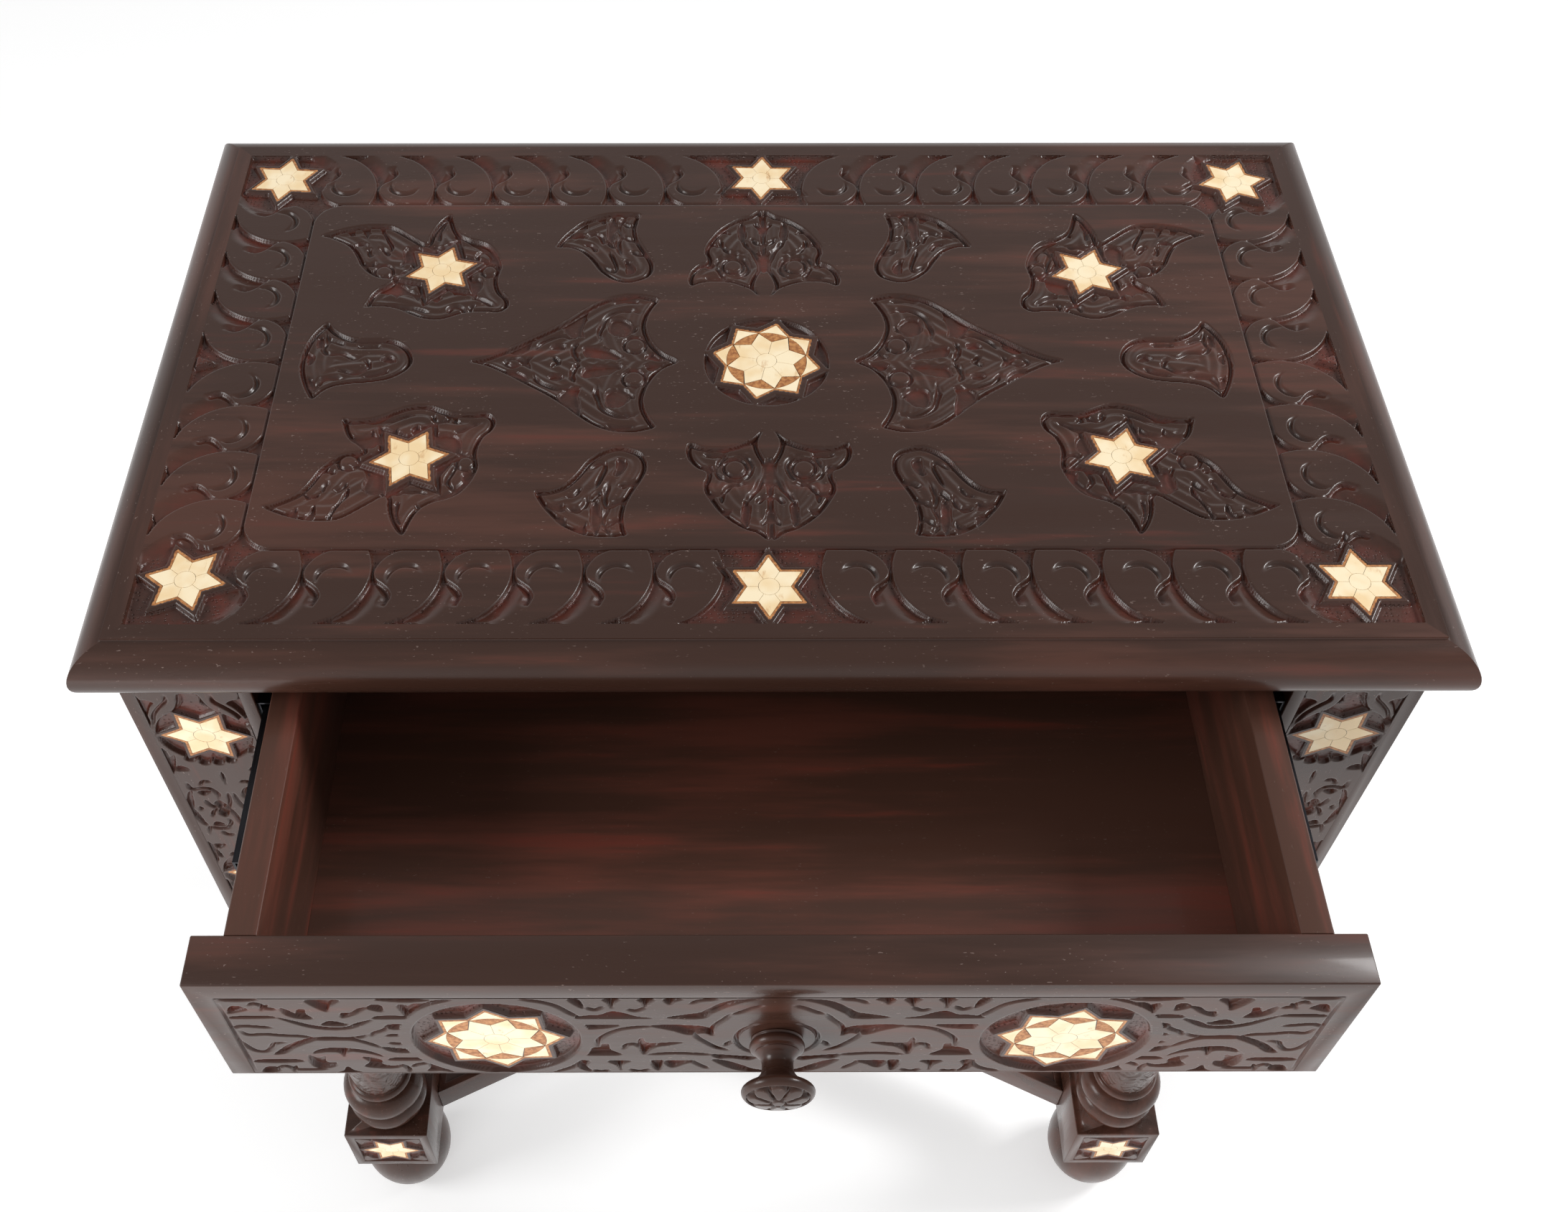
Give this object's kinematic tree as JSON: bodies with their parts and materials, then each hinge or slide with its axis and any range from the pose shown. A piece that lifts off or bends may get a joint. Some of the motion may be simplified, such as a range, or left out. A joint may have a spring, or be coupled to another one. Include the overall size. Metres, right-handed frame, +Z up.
{
  "type": "one-drawer side table",
  "caption": "Carved dark wood side table with bone star inlay, a sliding drawer with a turned knob, turned legs on ball feet and a crossed stretcher.",
  "frame": {"origin": "on the floor, under the middle of the whole table as it stands with its drawer part open (the table alone is centred 90.7 mm behind it)", "axes": "+Z up, +X to the right of someone facing the drawer, the drawer opens towards -Y"},
  "size_m": [0.7, 0.6074, 0.824],
  "materials": {
    "carved_wood": "dark stained hardwood, carved, glossy lacquer",
    "inside_wood": "dark red-brown stained wood, satin",
    "bone": "polished bone inlay with fine streaks",
    "edging_wood": "light brown wood edging, polished",
    "black_steel": "black electroplated steel, satin",
    "bright_steel": "zinc-plated steel"
  },
  "bodies": {
    "table": {"top_panel": "carved_wood", "edge_front": "carved_wood", "edge_back": "carved_wood", "edge_left": "carved_wood", "edge_right": "carved_wood", "leg_front_left": "carved_wood", "leg_front_right": "carved_wood", "leg_back_left": "carved_wood", "leg_back_right": "carved_wood", "foot_front_left": "carved_wood", "foot_front_right": "carved_wood", "foot_back_left": "carved_wood", "foot_back_right": "carved_wood", "side_panel_left": "carved_wood", "side_panel_right": "carved_wood", "back_panel": "carved_wood", "front_apron": "carved_wood", "stretcher_lower": "carved_wood", "stretcher_upper": "carved_wood", "runner_left": "inside_wood", "runner_right": "inside_wood", "cleat_left": "inside_wood", "cleat_right": "inside_wood", "cleat_back": "inside_wood", "top_screws": "bright_steel", "case_slide_screws": "bright_steel", "slide_case_left": "black_steel", "slide_case_right": "black_steel", "border_star_bone": "bone", "field_star_bone": "bone", "centre_star_bone": "bone", "stile_star_bone": "bone", "block_star_bone": "bone", "border_star_edging": "edging_wood", "field_star_edging": "edging_wood", "centre_star_edging": "edging_wood", "stile_star_edging": "edging_wood", "block_star_edging": "edging_wood"},
    "drawer": {"drawer_front": "carved_wood", "drawer_side_left": "inside_wood", "drawer_side_right": "inside_wood", "drawer_back": "inside_wood", "drawer_bottom": "inside_wood", "drawer_bottom_screws": "bright_steel", "knob": "carved_wood", "knob_screw": "bright_steel", "slide_drawer_left": "black_steel", "slide_drawer_right": "black_steel", "drawer_slide_screws": "bright_steel", "drawer_star_bone": "bone", "drawer_star_edging": "edging_wood"},
    "slide_middle_left": {"slide_middle_left": "black_steel", "slide_balls_left": "bright_steel"},
    "slide_middle_right": {"slide_middle_right": "black_steel", "slide_balls_right": "bright_steel"}
  },
  "joints": [
    {"name": "drawer_slide", "type": "slide", "parent": "table", "child": "drawer", "axis": [0, -1, 0], "range_m": [-0.1385, 0.125]},
    {"name": "middle_slide_left", "type": "slide", "parent": "table", "child": "slide_middle_left", "axis": [0, -1, 0], "range_m": [-0.0901, 0.0813]},
    {"name": "middle_slide_right", "type": "slide", "parent": "table", "child": "slide_middle_right", "axis": [0, -1, 0], "range_m": [-0.0901, 0.0813]}
  ],
  "couplings": [
    {"joint": "middle_slide_left", "follows": "drawer_slide", "ratio": 0.65},
    {"joint": "middle_slide_right", "follows": "drawer_slide", "ratio": 0.65}
  ]
}
